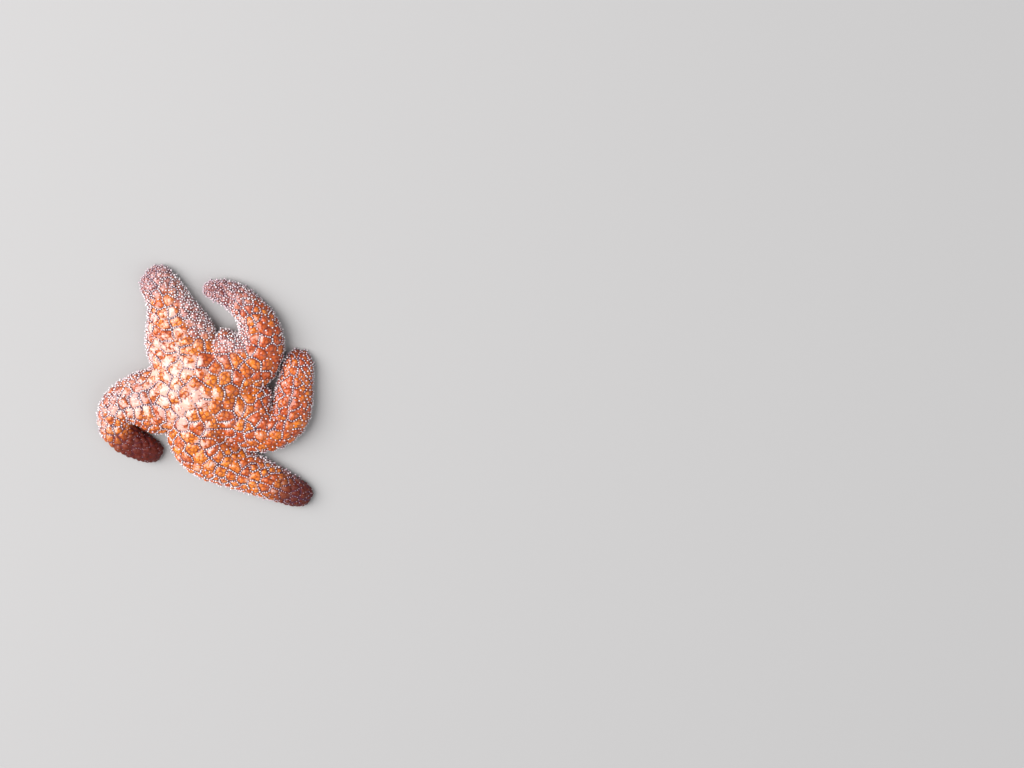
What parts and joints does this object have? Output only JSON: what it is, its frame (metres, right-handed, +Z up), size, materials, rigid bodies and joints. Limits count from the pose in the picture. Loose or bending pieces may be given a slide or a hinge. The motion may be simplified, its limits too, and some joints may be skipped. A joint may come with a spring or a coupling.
{
  "type": "ochre sea star",
  "caption": "Life-size ochre sea star lying flat with curled, tapering arms round a domed disc, as a still museum model.",
  "frame": {"origin": "under the middle of the animal's box, on the surface that it rests on", "axes": "+Z up away from the surface, +Y towards the arm that is straightest beside the sieve plate, +X towards the two arms that curl back"},
  "size_m": [0.186, 0.2136, 0.0367],
  "materials": {
    "skin": "wet, tough, pebbled skin",
    "tip_skin": "wet, tough, dark skin of the arm tips",
    "spines": "small rounded limy spines, satin",
    "madreporite": "grooved limy sieve plate",
    "mouth": "thin soft membrane",
    "tube_feet": "soft, moist, translucent"
  },
  "bodies": {
    "root": {"disc": "skin", "madreporite": "madreporite", "mouth": "mouth", "arm_1_base": "skin", "arm_1_middle": "skin", "arm_1_outer": "skin", "arm_1_tip": "tip_skin", "arm_2_base": "skin", "arm_2_middle": "skin", "arm_2_outer": "skin", "arm_2_tip": "tip_skin", "arm_3_base": "skin", "arm_3_middle": "skin", "arm_3_outer": "skin", "arm_3_tip": "tip_skin", "arm_4_base": "skin", "arm_4_middle": "skin", "arm_4_outer": "skin", "arm_4_tip": "tip_skin", "arm_5_base": "skin", "arm_5_middle": "skin", "arm_5_outer": "skin", "arm_5_tip": "tip_skin"}
  },
  "joints": []
}
